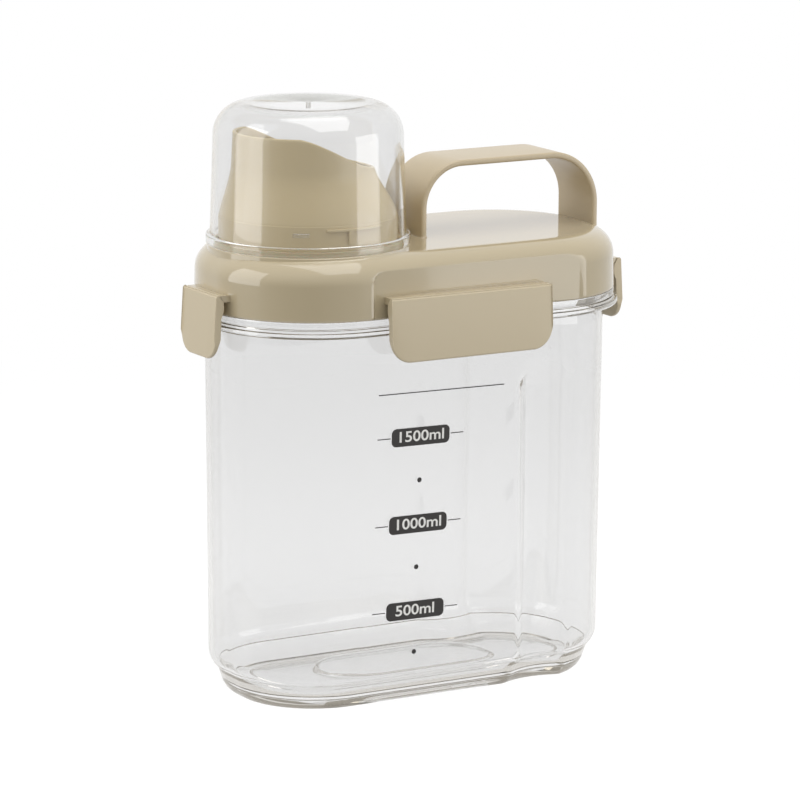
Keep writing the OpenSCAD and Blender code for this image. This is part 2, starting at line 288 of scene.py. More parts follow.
def moulded_beige(name, colour, darker, roughness, grain_mm, grain_depth, coat):
    """Injection-moulded ABS: an even colour with faint flow marks.

    Its skin waves or grains a little, which breaks up the reflections.
    """
    new, tree = material(name)
    place = object_place(tree)
    flow = node(tree, "ShaderNodeTexNoise",
                inputs={"Vector": place, "Scale": 1 / (FLOW_MM * MM), "Detail": 2.0})
    tint = node(tree, "ShaderNodeMix", {"data_type": "RGBA"},
                {0: flow.outputs["Fac"], 6: srgb(colour), 7: srgb(darker)})
    grain = node(tree, "ShaderNodeTexNoise",
                 inputs={"Vector": place, "Scale": 1 / (grain_mm * MM), "Detail": 3.0})
    bump = node(tree, "ShaderNodeBump",
                inputs={"Strength": 0.25, "Distance": grain_depth * MM,
                        "Height": grain.outputs["Fac"]})
    gloss = node(tree, "ShaderNodeMapRange",
                 inputs={"Value": grain.outputs["Fac"],
                         "To Min": roughness * 0.9, "To Max": roughness * 1.15})
    shell = node(tree, "ShaderNodeBsdfPrincipled",
                 inputs={"Base Color": tint.outputs[2], "Roughness": gloss.outputs[0],
                         "IOR": ABS_IOR, "Coat Weight": coat, "Coat Roughness": 0.03,
                         "Normal": bump.outputs[0]})
    node(tree, "ShaderNodeOutputMaterial", inputs={"Surface": shell.outputs[0]})
    return new


def clear_plastic(name, colour, caught_ray_shade, roughness):
    """Clear moulded SAN: sharp bright reflections, and dark lines where edges bend the light.

    Shadow rays and diffuse rays pass straight through, so its shadow stays pale.
    A ray that is caught between the walls ends in black after the last bounce allowed,
    so before that it goes straight on with a grey tint: painted shade, which darkens the lines
    where edges bend the light.
    """
    new, tree = material(name)
    place = object_place(tree)
    flow = node(tree, "ShaderNodeTexNoise",
                inputs={"Vector": place, "Scale": 1 / (CLEAR_FLOW_MM * MM), "Detail": 1.0})
    bump = node(tree, "ShaderNodeBump",
                inputs={"Strength": 0.12, "Distance": 0.05 * MM, "Height": flow.outputs["Fac"]})
    wall = node(tree, "ShaderNodeBsdfPrincipled",
                inputs={"Base Color": srgb(colour), "Roughness": roughness, "IOR": SAN_IOR,
                        "Transmission Weight": 1.0, "Normal": bump.outputs[0]})
    straight = node(tree, "ShaderNodeBsdfTransparent", inputs={"Color": srgb("FCFCFC")})
    # Painted shade: a ray caught in the walls goes on with this grey tint, which darkens the foot
    # and the edges
    painted_shade = node(tree, "ShaderNodeBsdfTransparent", inputs={"Color": srgb(caught_ray_shade)})
    rays = node(tree, "ShaderNodeLightPath")
    lamp_way = node(tree, "ShaderNodeMath", {"operation": "MAXIMUM"},
                    {0: rays.outputs["Is Shadow Ray"], 1: rays.outputs["Is Diffuse Ray"]})
    deep = node(tree, "ShaderNodeMath", {"operation": "GREATER_THAN"},
                {0: rays.outputs["Ray Depth"], 1: RAY_LIMIT})
    caught = node(tree, "ShaderNodeMath", {"operation": "GREATER_THAN"},
                  {0: rays.outputs["Glossy Depth"], 1: GLOSSY_LIMIT})
    long_way = node(tree, "ShaderNodeMath", {"operation": "MAXIMUM"},
                    {0: deep.outputs[0], 1: caught.outputs[0]})
    body = node(tree, "ShaderNodeMixShader",
                inputs={0: long_way.outputs[0], 1: wall.outputs[0], 2: painted_shade.outputs[0]})
    both = node(tree, "ShaderNodeMixShader",
                inputs={0: lamp_way.outputs[0], 1: body.outputs[0], 2: straight.outputs[0]})
    node(tree, "ShaderNodeOutputMaterial", inputs={"Surface": both.outputs[0]})
    return new


def soft_silicone(name, colour):
    """Moulded silicone rubber: a matte skin with a faint bloom that lets a little light in."""
    new, tree = material(name)
    place = object_place(tree)
    bloom = node(tree, "ShaderNodeTexNoise",
                 inputs={"Vector": place, "Scale": 1 / (BLOOM_MM * MM), "Detail": 4.0})
    gloss = node(tree, "ShaderNodeMapRange",
                 inputs={"Value": bloom.outputs["Fac"], "To Min": 0.4, "To Max": 0.6})
    skin = node(tree, "ShaderNodeBsdfPrincipled",
                inputs={"Base Color": srgb(colour), "Roughness": gloss.outputs[0],
                        "IOR": SILICONE_IOR, "Subsurface Weight": 0.3,
                        "Subsurface Scale": 1.0 * MM})
    node(tree, "ShaderNodeOutputMaterial", inputs={"Surface": skin.outputs[0]})
    return new


def screen_ink(name, colour):
    """Screen-printed ink: a thin matte film with a trace of the screen's mesh in its gloss."""
    new, tree = material(name)
    place = object_place(tree)
    screen = node(tree, "ShaderNodeTexNoise",
                  inputs={"Vector": place, "Scale": 1 / (SCREEN_MM * MM), "Detail": 2.0})
    gloss = node(tree, "ShaderNodeMapRange",
                 inputs={"Value": screen.outputs["Fac"], "To Min": 0.35, "To Max": 0.55})
    film = node(tree, "ShaderNodeBsdfPrincipled",
                inputs={"Base Color": srgb(colour), "Roughness": gloss.outputs[0],
                        "IOR": INK_IOR})
    node(tree, "ShaderNodeOutputMaterial", inputs={"Surface": film.outputs[0]})
    return new


# The lid comes from a polished mould: sharp reflections that wave a little
glossy_abs = moulded_beige("glossy_moulded_abs", "BEB092", "BBAD8F", 0.07, SINK_MM, 0.01, 0.45)
# The spout comes from a smooth mould: broad, soft bands of light down its sides
spout_abs = moulded_beige("smooth_moulded_abs", "CAB890", "C7B58D", 0.24, SINK_MM, 0.01, 0.0)
# The handle is smooth too and duller: even faces with no clear reflection
handle_abs = moulded_beige("handle_moulded_abs", "C2B294", "BFAF91", 0.3, SINK_MM, 0.01, 0.0)
# The latches come from a spark-eroded mould: a flat, fine-grained satin, in a paler colour that is
# partly their own and partly a painted sheen
satin_abs = moulded_beige("satin_moulded_abs", "CBBDA0", "C8BA9D", 0.33, SPARK_MM, 0.02, 0.0)
# Rays caught in the jar's walls take a grey tint, painted shade that draws its foot and its
# upright edges darker
clear_san = clear_plastic("clear_moulded_san", "EEEEEE", "D8D5CF", 0.012)
# The cup's wall is thinner and clearer, and its caught rays take a paler painted shade, so its
# edges stay light
cup_san = clear_plastic("clear_cup_san", "F2F2F2", "EAEAE8", 0.012)
# The gasket is uncoloured, so it looks milky
silicone = soft_silicone("milky_silicone", "DDDAD2")
# The cup's seal is a darker beige than the spout behind it
beige_silicone = soft_silicone("beige_silicone", "B8AB8A")
# The scale's badges and lines are a warm black, and its figures an off-white on top of it
black_ink = screen_ink("black_screen_ink", "1E1A17")
white_ink = screen_ink("white_screen_ink", "F2F1ED")


# ---------- jar ----------

JAR_STEPS = (100, 72, 6)     # stations along a long wall, round a corner and along an end
GRIP_X = 43.6
GRIP_HALF = 14.2
GRIP_DEPTH = 5.2
GRIP_R = (GRIP_HALF ** 2 + GRIP_DEPTH ** 2) / (2 * GRIP_DEPTH)
GRIP_Y = CORNER_Y + WALL_R - GRIP_DEPTH + GRIP_R
GRIP_ARCH_Z = 127.8
GRIP_ARCH_R = GRIP_HALF + 0.2
GRIP_PLAIN_Z = GRIP_ARCH_Z - 12     # below this height a dent is a plain groove
GRIP_CAP_SLOPE = 0.375       # how fast the arched end of a dent deepens
GRIP_CAP_EDGE = 0.5          # softness where that end meets the groove
GRIP_EDGE = 1.1              # softness of a dent's edges
GRIP_AREA_X = GRIP_HALF + 4  # outside this area the wall is left as it is
GRIP_AREA_Z = GRIP_ARCH_Z + GRIP_HALF + 2
PAD_X = 20                   # corners of the raised pad under the jar
PAD_Y = 0.4


def wall_r(z):
    """Corner radius of the outer wall at a height."""
    return WALL_LOW_R + (WALL_R - WALL_LOW_R) * share(z, SHOULDER_Z, NECK_Z)


def gripped(point, inset):
    """Pushes a point of a wall in where a hand-grip dent is."""
    x, y, z = point
    dx = x - GRIP_X
    if abs(dx) > GRIP_AREA_X or z > GRIP_AREA_Z:
        return point
    groove = GRIP_Y - sqrt(max((GRIP_R + inset) ** 2 - dx ** 2, 0))
    arch = GRIP_ARCH_Z + sqrt(max(GRIP_ARCH_R ** 2 - dx ** 2, 0))
    cap = CORNER_Y + WALL_R - inset - (arch - z) * GRIP_CAP_SLOPE
    dent = groove if z < GRIP_PLAIN_Z else -blend_min(-groove, -cap, GRIP_CAP_EDGE)
    new = blend_min(abs(y), dent, GRIP_EDGE)
    return (x, new if y > 0 else -new, z)


def jar_ring(stations, r, z):
    """A ring of the jar's wall, with its dents."""
    inset = wall_r(z) - r
    return [gripped(p, inset) for p in ring(stations, r, z)]


def jar_mesh():
    """The jar from the middle of its underside, up outside, over the rim and down inside."""
    walls = oblong(CORNER_X, CORNER_Y, *JAR_STEPS)
    pad = oblong(PAD_X, PAD_Y, *JAR_STEPS)
    foot = filleted([(20, 2.2), (22.8, 2.2, 0.8), (23.5, 0, 0.9), (31.9, 0, 1.4)])
    foot += [(33.0, 0.9), (34.0, 2.2), (34.9, 4.2), (35.6, 6.2), (36.2, 8.2), (36.6, 9.8)]
    crease = [(36.75, 10.05), (37.1, 10.1), (37.35, 10.25)]
    shoulder = arc(WALL_LOW_R - FOOT_R, SHOULDER_Z, FOOT_R, -FOOT_TURN, 0, 12)
    dent_z = [NECK_Z - 26 + 0.75 * i for i in range(28)]     # close rings where the dents end
    outside_z = [24, 30, 40, 50, 60, 70, 80, 90, 100, 110, 118] + dent_z + [NECK_Z]
    inside_z = [24, 30, 40, 60, 80, 100, 118] + dent_z
    wall = [(wall_r(z), z) for z in outside_z]
    collar = filleted([(41.4, 156.0), (41.4, 157.2, 0.8), (47.2, 157.5, 0.7),
                       (47.6, 158.5, 0.5), (47.3, 159.7, 0.5), (46.1, 159.75, 0.15),
                       (46.1, 160.7, 0.2), (45.2, 160.85, 0.15), (45.2, 161.2, 0.15),
                       (45.9, 161.3, 0.2), (45.9, 164.1, 0.4), (41.4, 164.1, 0.3),
                       (41.4, 171.6, 0.5), (39.6, 171.6, 0.5), (39.6, NECK_Z)])
    inside = [(wall_r(z) - WALL, z) for z in reversed(inside_z)]
    inside += arc(WALL_LOW_R - FOOT_R, SHOULDER_Z, FOOT_R - WALL, 0, -FOOT_TURN, 10)
    base = [(35.0, 9.6), (34.1, 7.8), (33.0, 6.2), (31.7, 4.9), (30.3, 4.2), (28.8, 4.0),
            (26, 4.0), (21.5, 4.0)]
    pad_under = filleted([(0.3, 3.8), (18.4, 3.8, 0.8), (19.2, 2.2, 0.8), (20.5, 2.2)])
    pad_over = filleted([(21.8, 4.0), (20.6, 4.0, 0.9), (19.6, 6.0, 0.9), (0.3, 6.0)])
    rings = [ring(pad, r, z) for r, z in pad_under]
    rings += [jar_ring(walls, r, z) for r, z in foot + crease + shoulder + wall + collar]
    rings += [jar_ring(walls, r, z) for r, z in inside + base]
    rings += [ring(pad, r, z) for r, z in pad_over]
    return loft(rings)


piece("jar_shell", jar_mesh(), clear_san, "jar_body", ["jar"], sharp=28)


# ---------- printed scale ----------

PRINT_TILT = radians(0.9)    # the print sits slightly out of level on the wall
MARKS = [(1500, -18.5, 113.0), (1000, -19.4, 76.3), (500, -20.4, 39.8)]
DOTS = [(-18.9, 94.6), (-20.0, 58.0), (-20.7, 22.0)]
DOT_R = 1.05
DOT_STEPS = 24
BADGE = (27.4, 7.6, 2.2)     # width, height and corner radius
DASH = (14.2, 20.3, 0.2)     # both ends from the middle of the badge, and half the thickness
TOP_LINE = (-29.8, 29.8, 0.22)
TOP_LINE_AT = (-8.6, 131.3)
INK = 0.03                   # thickness of a film of ink
INK_LIFT = 0.02
FIGURE_LIFT = 0.07           # the figures lie on the black ink
FIGURE_HIGH = 4.6
FIGURE_SIZE = 1.36           # type size of the lettering for each unit of height
FIGURE_BOLD = 0.02
FIGURE_WIDE = 1.22           # the figures are broader than the lettering they are cut from
WELD = 0.0005


def on_wall(x, z, lift):
    """A point on the front wall, lifted off it a little."""
    return (x, -(CORNER_Y + wall_r(z)) - lift, z)


def tilted(px, pz, x, z):
    """A point of a mark round (x, z), turned with the whole print."""
    c, s = cos(PRINT_TILT), sin(PRINT_TILT)
    return x + px * c + pz * s, z - px * s + pz * c


def rounded_box_outline(width, height, r):
    """A rounded rectangle round (0, 0)."""
    points = []
    for cx, cz, start in ((1, 1, 0), (-1, 1, 90), (-1, -1, 180), (1, -1, 270)):
        points += arc(cx * (width / 2 - r), cz * (height / 2 - r), r, start, start + 90, 6)
    return points


def line_outline(x0, x1, half):
    """A thin level line."""
    return [(x0, -half), (x1, -half), (x1, half), (x0, half)]


def printed(outline, x, z):
    """A film of ink on the front wall from its outline round (x, z)."""
    flat = [tilted(px, pz, x, z) for px, pz in outline]
    return loft([[on_wall(px, pz, lift) for px, pz in flat]
                 for lift in (INK_LIFT, INK_LIFT + INK)])


def figures(text, x, z):
    """Plain figures as a film of ink on the front wall."""
    curve = bpy.data.curves.new("figures", "FONT")
    curve.body = text
    curve.size = FIGURE_HIGH * FIGURE_SIZE
    curve.offset = FIGURE_BOLD * FIGURE_HIGH
    curve.extrude = INK / 2
    curve.align_x = "CENTER"
    curve.align_y = "CENTER"
    curve.resolution_u = 4
    holder = bpy.data.objects.new("figures", curve)
    bpy.context.scene.collection.objects.link(holder)
    graph = bpy.context.evaluated_depsgraph_get()
    flat = bpy.data.meshes.new_from_object(holder.evaluated_get(graph))
    bpy.data.objects.remove(holder)
    work = bmesh.new()
    work.from_mesh(flat)
    bmesh.ops.remove_doubles(work, verts=work.verts, dist=WELD)
    work.to_mesh(flat)
    work.free()
    points = []
    for v in flat.vertices:
        px, pz = tilted(v.co.x * FIGURE_WIDE, v.co.y, x, z)
        points.append(on_wall(px, pz, FIGURE_LIFT + v.co.z))
    return points, [tuple(f.vertices) for f in flat.polygons]


black_parts = []
white_parts = []
for value, x, z in MARKS:
    black_parts.append(printed(rounded_box_outline(*BADGE), x, z))
    for side in (-1, 1):
        dash = [(side * px, pz) for px, pz in line_outline(*DASH)]
        black_parts.append(printed(dash[::side], x, z))
    white_parts.append(figures(f"{value}ml", x, z))
for x, z in DOTS:
    black_parts.append(printed([(DOT_R * nx, DOT_R * nz)
                                for _, _, nx, nz in circle(0, DOT_STEPS)], x, z))
black_parts.append(printed(line_outline(*TOP_LINE), *TOP_LINE_AT))
piece("scale_ink", join(*black_parts), black_ink, "jar_body")
piece("scale_figures", join(*white_parts), white_ink, "jar_body")


# ---------- lid ----------

PLATEAU_Z = 189.0
LID_TOP_WALL = 2.2
SHOULDER_R = 11.0
SKIRT_R = 45.9
SKIRT_TOP = PLATEAU_Z - SHOULDER_R
SKIRT_START = 164.6          # where the round of the skirt's lower edge ends
SKIRT_DRAFT = 0.3            # how much the skirt leans in on its way up
SKIRT_STEPS = 26
PANEL_Y = 47.6
PANEL = (-43.0, 57.0, 150.0, 183.6, 5.5)     # x and z from and to, and corner radius
PANEL_EDGE = 1.3
SHELF_SHORT = 0.4            # a shelf ends this far inside its latch

# Width of each latch and radius of its lower corners
LATCHES = {"front": (76.0, 9.0), "back": (76.0, 9.0), "left": (29.4, 8.0), "right": (29.4, 8.0)}


def rounded_box_distance(x, z, x0, x1, z0, z1, r):
    """Distance to a rounded rectangle's edge, below zero inside it."""
    qx = abs(x - (x0 + x1) / 2) - (x1 - x0) / 2 + r
    qz = abs(z - (z0 + z1) / 2) - (z1 - z0) / 2 + r
    return hypot(max(qx, 0), max(qz, 0)) + min(max(qx, qz), 0) - r


def panelled(point):
    """Sinks the flat panel into the front and back of the lid's skirt."""
    x, y, z = point
    if abs(y) < PANEL_Y:
        return point
    depth = smooth(0.5 - rounded_box_distance(x, z, *PANEL) / PANEL_EDGE)
    new = abs(y) + (PANEL_Y - abs(y)) * depth
    return (x, new if y > 0 else -new, z)


def lid_dome():
    """The lid's shell from under its plateau, down inside, and up outside to the plateau."""
    walls = oblong(CORNER_X, CORNER_Y, 140, 72, 6)
    under = PLATEAU_Z - LID_TOP_WALL
    inner = filleted([(0.3, under), (33, under, 3), (39.6, under - 2.4, 3),
                      (41.9, under - 5.4, 3), (42.6, 178, 2), (42.6, 164.2, 0.3)])
    skirt = [(SKIRT_R - 0.4, 164.2), (SKIRT_R - 0.12, 164.32), (SKIRT_R, SKIRT_START)]
    skirt += [(SKIRT_R - SKIRT_DRAFT * i / SKIRT_STEPS,
               SKIRT_START + (SKIRT_TOP - SKIRT_START) * i / SKIRT_STEPS)
              for i in range(1, SKIRT_STEPS)]
    shoulder = arc(SKIRT_R - SKIRT_DRAFT - SHOULDER_R, SKIRT_TOP, SHOULDER_R, 0, 89, 44)
    crown = [(33.5, PLATEAU_Z), (0.3, PLATEAU_Z)]
    rings = [ring(walls, r, z) for r, z in inner]
    rings += [[panelled(p) for p in ring(walls, r, z)] for r, z in skirt + shoulder + crown]
    return loft(rings)


def plug_ring():
    """The wall under the lid that enters the jar."""
    walls = oblong(CORNER_X, CORNER_Y, 24, 24, 2)
    section = filleted([(36.6, 166.1, 0.3), (38.4, 166.1, 0.3), (38.4, 186, 0.1),
                        (36.6, 186, 0.1)], closed=True)
    return loft([ring(walls, r, z) for r, z in section], close_loop=True)


def cup_seat():
    """The ring round the pour opening that the spout and the cup stand on."""
    section = filleted([(BORE_R, 184), (41.6, 184), (41.6, SEAT_TOP, 0.5),
                        (BORE_R, SEAT_TOP, 0.2)], closed=True)
    return loft([ring(circle(CUP_X, 160), r, z) for r, z in section], close_loop=True)


def shelf(side, width):
    """The ledge of the lid that a latch hangs from."""
    section = filleted([(-2.2, 170.1), (-5.9, 170.1, 0.3), (-7.6, 171.8, 0.3),
                        (-7.6, 172.9, 0.35), (-2.2, 172.9)], closed=True)
    return turned(extrude_x(section, -width / 2 + SHELF_SHORT, width / 2 - SHELF_SHORT), side)


def bore_lid(lid):
    """Cuts the pour opening through the lid."""
    drill = piece("spout_bore_cutter",
                  loft([ring(circle(CUP_X, 128), BORE_R, z) for z in (175, 195)]), glossy_abs)
    cut = lid.modifiers.new("spout hole", "BOOLEAN")
    cut.object = drill
    cut.operation = "DIFFERENCE"
    cut.solver = "EXACT"
    bpy.context.view_layer.update()
    graph = bpy.context.evaluated_depsgraph_get()
    holed = bpy.data.meshes.new_from_object(lid.evaluated_get(graph))
    lid.modifiers.clear()
    lid.data = holed
    bpy.data.objects.remove(drill)
    holed.set_sharp_from_angle(angle=radians(30))


bore_lid(piece("lid_cap", join(lid_dome(), plug_ring()), glossy_abs,
               "lid_assembly", ["lid"], sharp=40))
piece("cup_seat", cup_seat(), glossy_abs, "lid_assembly")
piece("latch_shelves", join(*[shelf(side, width) for side, (width, _) in LATCHES.items()]),
      glossy_abs, "lid_assembly")


# ---------- handle ----------

HANDLE_TOP = 220.2
HANDLE_THICK = 2.6
HANDLE_WIDE = 27.8
HANDLE_EDGE_R = 1.0
HANDLE_LEFT = -0.6
HANDLE_RIGHT = 85.4
HANDLE_LEFT_R = 19.5
HANDLE_RIGHT_R = 22.6
HANDLE_FLARE = 0.35          # how much the left leg widens where it meets the lid


def handle_mesh():
    """A strap swept up, over and down, with rounded edges and a small flare at its left foot."""
    half_t = HANDLE_THICK / 2
    x0, x1, top = HANDLE_LEFT + half_t, HANDLE_RIGHT - half_t, HANDLE_TOP - half_t

    def bend(cx, r, start, steps):
        """The strap's middle line round one of its two bends."""
        turns = [start - 90 * i / steps for i in range(steps + 1)]
        return [(cx + r * cos(radians(a)), top - r + r * sin(radians(a)), a, 0.0) for a in turns]

    left_r, right_r = HANDLE_LEFT_R - half_t, HANDLE_RIGHT_R - half_t
    path = [(x0, 187.5, 180.0, HANDLE_FLARE)]
    path += [(x0, PLATEAU_Z - 0.1 + 0.15 * i, 180.0, HANDLE_FLARE * (1 - i / 7) ** 2)
             for i in range(8)]
    path += [(x0, 196, 180.0, 0.0)]
    path += bend(x0 + left_r, left_r, 180, 16)
    path += bend(x1 - right_r, right_r, 90, 20)
    path += [(x1, 194, 0.0, 0.0), (x1, PLATEAU_Z - 1.0, 0.0, 0.0), (x1, 181.0, 0.0, 0.0)]
    section = rounded_box_outline(HANDLE_WIDE, HANDLE_THICK, HANDLE_EDGE_R)
    rings = []
    for x, z, angle, flare in path:
        nx, nz = cos(radians(angle)), sin(radians(angle))
        grow = 1 + flare / (HANDLE_WIDE / 2)
        one = []
        for across, out in section:
            flared = out + flare * (1 if out > 0 else -1) * min(1, abs(out))
            one.append((x + nx * flared, across * grow, z + nz * flared))
        rings.append(one)
    return loft(rings)


piece("carry_handle", handle_mesh(), handle_abs, "lid_assembly", ["handle"])


# ---------- spout ----------

SPOUT_R = 36.9
SPOUT_WALL = 1.6
SPOUT_STEPS = 144
SPOUT_ROWS = 34
FOOT_TOP = 201.4
TUBE_INSET = 0.15            # the tube starts this far inside its foot
TUBE_DRAFT = 0.05            # how much it narrows over each unit of height above the flare
FLARE_TOP = 222.0
FLARE_CURVE = 1.4
NECK_R = 29.3
NECK_SHIFT = 2.6             # how far the mouth stands left of the foot
LIP_Z = 235.7
LIP_ROUND = 0.5
LIP_SLANT = 0.21             # the even fall of the lip to the right
LIP_SLANT_LEFT = 17.5        # distance left of the axis where that fall starts
LIP_STEP = 6.4               # the S-shaped fall on top of it
LIP_STEP_LEFT = 18.5
LIP_STEP_LONG = 34

# The bayonet's rib and its stop: height from and to, and angle from and to
RIBS = [(199.2, 200.2, -107.4, -68.4), (193.8, 199.5, -93.3, -90.3)]


def mouth(x):
    """Height of the slanted lip at a distance along X from the cup's axis."""
    step = smooth((x + LIP_STEP_LEFT) / LIP_STEP_LONG)
    return LIP_Z - LIP_SLANT * max(0, x + LIP_SLANT_LEFT) - LIP_STEP * step


def tube_r(z):
    """Outer radius of the tube at a height."""
    s = share(z, FOOT_TOP, FLARE_TOP)
    start = SPOUT_R - TUBE_INSET
    taper = TUBE_DRAFT * max(0, z - FLARE_TOP)
    return start - taper - (start - NECK_R) * (smooth(s) + 1 - (1 - s) ** FLARE_CURVE) / 2


def tube_point(a, z, inset):
    """A point of the tube's wall, inset from its outside."""
    r = tube_r(z) - inset
    shift = NECK_SHIFT * smooth(share(z, FOOT_TOP, FLARE_TOP))
    return (CUP_X - shift + r * cos(a), r * sin(a), z)


def spout_mesh():
    """The flared tube with its rolled lip, the ring that it stands in, and two bayonet ribs."""
    turns = [2 * pi * i / SPOUT_STEPS for i in range(SPOUT_STEPS)]
    lip = [mouth(-NECK_SHIFT + NECK_R * cos(a)) for a in turns]
    low = FOOT_TOP - 1
    half = SPOUT_WALL / 2

    def row(t, inset, drop=LIP_ROUND):
        return [tube_point(a, low + (top - drop - low) * t, inset)
                for a, top in zip(turns, lip)]

    outer = [row(k / SPOUT_ROWS, 0.0) for k in range(SPOUT_ROWS + 1)]
    rim = [row(1, half - half * cos(radians(b)), LIP_ROUND - LIP_ROUND * sin(radians(b)))
           for b in range(20, 180, 20)]
    inner = [row(k / SPOUT_ROWS, SPOUT_WALL) for k in range(SPOUT_ROWS, -1, -1)]
    tube = loft(outer + rim + inner, close_loop=True)
    section = filleted([(BORE_R, SEAT_TOP), (SPOUT_R, SEAT_TOP), (SPOUT_R, FOOT_TOP, 0.3),
                        (BORE_R, FOOT_TOP, 0.2)], closed=True)
    foot = loft([ring(circle(CUP_X, 160), r, z) for r, z in section], close_loop=True)
    ribs = [arc_bar(SPOUT_R - 0.8, SPOUT_R + 1.1, z0, z1, start + half_turn, end + half_turn)
            for half_turn in (0, 180) for z0, z1, start, end in RIBS]
    return join(tube, foot, *ribs)


piece("pour_spout", spout_mesh(), spout_abs, "lid_assembly", ["spout"], sharp=40)


# ---------- measuring cup ----------

CUP_TOP = 247.2
CUP_TOP_R = 39.2
CUP_WALL = 1.6
CUP_FILLET = 13.3
LUG = (197.3, 198.7, -128, -118)     # height from and to, and angle from and to


def cup_mesh():
    """The cup upside down: flange, wall, crown, the gate mark on top, and back down inside."""
    flat_r = CUP_TOP_R - CUP_FILLET
    inner_top = CUP_TOP - CUP_WALL
    flange = filleted([(38.9, 189.2, 0.2), (42.1, 189.2, 0.6), (42.1, 193.3, 0.7),
                       (40.45, 193.3, 0.35)])
    outer = [(40.38, 194.5), (40.21, 200), (39.9, 210), (39.53, 222), (39.24, 232)]
    crown = arc(flat_r, CUP_TOP - CUP_FILLET, CUP_FILLET, 2, 90, 24)
    crown += [(flat_r - 0.4, CUP_TOP), (2.0, CUP_TOP)]
    gate = [(1.5, CUP_TOP - 0.3), (1.1, CUP_TOP - 0.3), (0.9, CUP_TOP + 0.2),
            (0.5, CUP_TOP + 0.3), (0.05, CUP_TOP + 0.3)]
    under = [(0.05, inner_top), (2.0, inner_top), (flat_r - 0.4, inner_top)]
    under += arc(flat_r, CUP_TOP - CUP_FILLET, CUP_FILLET - CUP_WALL, 90, 2, 20)
    inside = [(37.65, 232), (37.93, 222), (38.3, 210), (38.6, 200), (38.8, 193.3)]
    section = flange + outer + crown + gate + under + inside
    shell = loft([ring(circle(CUP_X, 180), r, z) for r, z in section], close_loop=True)
    z0, z1, start, end = LUG
    lugs = [arc_bar(SPOUT_R + 0.3, SPOUT_R + 2.4, z0, z1, start + half_turn, end + half_turn)
            for half_turn in (0, 180)]
    return join(shell, *lugs)


piece("measuring_cup_shell", cup_mesh(), cup_san, "cup", ["measuring_cup"],
      sharp=40)


# ---------- seals ----------

def cup_seal_mesh():
    """The seal inside the cup's flange."""
    section = filleted([(37.05, 189.3, 0.3), (38.75, 189.3, 0.3), (38.7, 191.3, 0.3),
                        (37.25, 191.3, 0.3)], closed=True)
    return loft([ring(circle(CUP_X, 128), r, z) for r, z in section], close_loop=True)


def gasket_mesh():
    """The gasket round the lid's plug, with two soft ribs."""
    walls = oblong(CORNER_X, CORNER_Y, 24, 30, 2)
    section = filleted([(38.4, 167.4), (39.2, 167.5, 0.3), (39.52, 168.1, 0.3),
                        (39.0, 168.9, 0.3), (39.0, 169.1, 0.3), (39.52, 169.9, 0.3),
                        (39.2, 170.5, 0.3), (38.4, 170.6)], closed=True)
    return loft([ring(walls, r, z) for r, z in section], close_loop=True)


piece("cup_seal_ring", cup_seal_mesh(), beige_silicone, "cup_ring", ["cup_seal"])
piece("lid_gasket", gasket_mesh(), silicone, "lid_assembly", ["gasket"])


# ---------- latches ----------

LATCH_LOW = 146.3
LATCH_LEAN = 0.07            # how much a flap stands out for each unit of its length
LATCH_EDGE = 0.55            # radius of its upright edges
HOOK_SHORT = 5               # its hook ends this far inside it
FILM_SHORT = 0.5             # and its film hinge this far
FILM_TOP = 172.84
FILM_LOW = 172.5
FILM_IN = 7.35
FILM_STEP = 0.12


def latch_section(low, inset):
    """Section of a flap in (y, z) from its hinge edge down to its lip, shrunk by inset."""
    lean = (LATCH_LOW - low) * LATCH_LEAN
    loop = filleted([(-8.3, 172.7, 0.5), (-8.95, 172.1, 0.4), (-10.6 - lean, low, 1.1),
                     (-8.7 - lean, low, 0.8), (-7.75, 163.5, 2.0), (-6.7, 166.3, 0.8),
                     (-6.5, 168.4, 0.6), (-6.7, 170.05, 0.3), (-7.9, 171.55, 0.3)], closed=True)
    if not inset:
        return loop
    shrunk = []
    for i, (y, z) in enumerate(loop):
        back, ahead = Vector(loop[i - 1]), Vector(loop[(i + 1) % len(loop)])
        along = (ahead - back).normalized()
        shrunk.append((y + along.y * inset, z - along.x * inset))
    return shrunk


def latch_mesh(side, width, corner):
    """A flap with rounded edges and lower corners, and the hook behind it."""
    half = width / 2
    edge = LATCH_EDGE
    edge_turns = [radians(a) for a in (0, 22, 45, 67, 90)]
    corner_turns = [radians(a) for a in range(6, 91, 6)]
    stations = [(-half + edge * (1 - cos(a)), edge * (1 - sin(a))) for a in edge_turns]
    stations += [(-half + edge + (corner - edge) * (1 - cos(a)), 0.0) for a in corner_turns]
    stations += [(-half + corner + (half - corner) * i / 6, 0.0) for i in range(1, 7)]
    mirrored = [(-x, inset) for x, inset in reversed(stations[:-1])]
    rings = []
    for x, inset in stations + mirrored:
        past = max(0.0, abs(x) - (half - corner))
        low = LATCH_LOW + corner - sqrt(max(corner ** 2 - min(past, corner) ** 2, 0))
        rings.append([(x, y, z) for y, z in latch_section(low, inset)])
    hook = filleted([(-9.0, 157.9), (-6.35, 157.3, 0.3), (-6.35, 156.6, 0.3),
                     (-7.4, 155.0, 0.6), (-9.3, 154.2)], closed=True)
    bar = extrude_x(hook, -half + HOOK_SHORT, half - HOOK_SHORT)
    return turned(join(loft(rings), bar), side)


def film_mesh(side, width):
    """The thin web a flap folds on."""
    half = width / 2 - FILM_SHORT
    ys = [-FILM_IN - FILM_STEP * i for i in range(11)]
    outline = [(y, FILM_TOP) for y in ys] + [(y, FILM_LOW) for y in reversed(ys)]
    return turned(extrude_x(outline, -half, half), side)


for side, (width, corner) in LATCHES.items():
    piece(f"{side}_latch_flap", latch_mesh(side, width, corner), satin_abs,
          f"latch_{side}", [f"latch_{side}"], sharp=40)
    web = piece(f"{side}_film_hinge", film_mesh(side, width), satin_abs)
    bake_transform(web)
    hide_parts(f"film_{side}")


# ---------- studio ----------

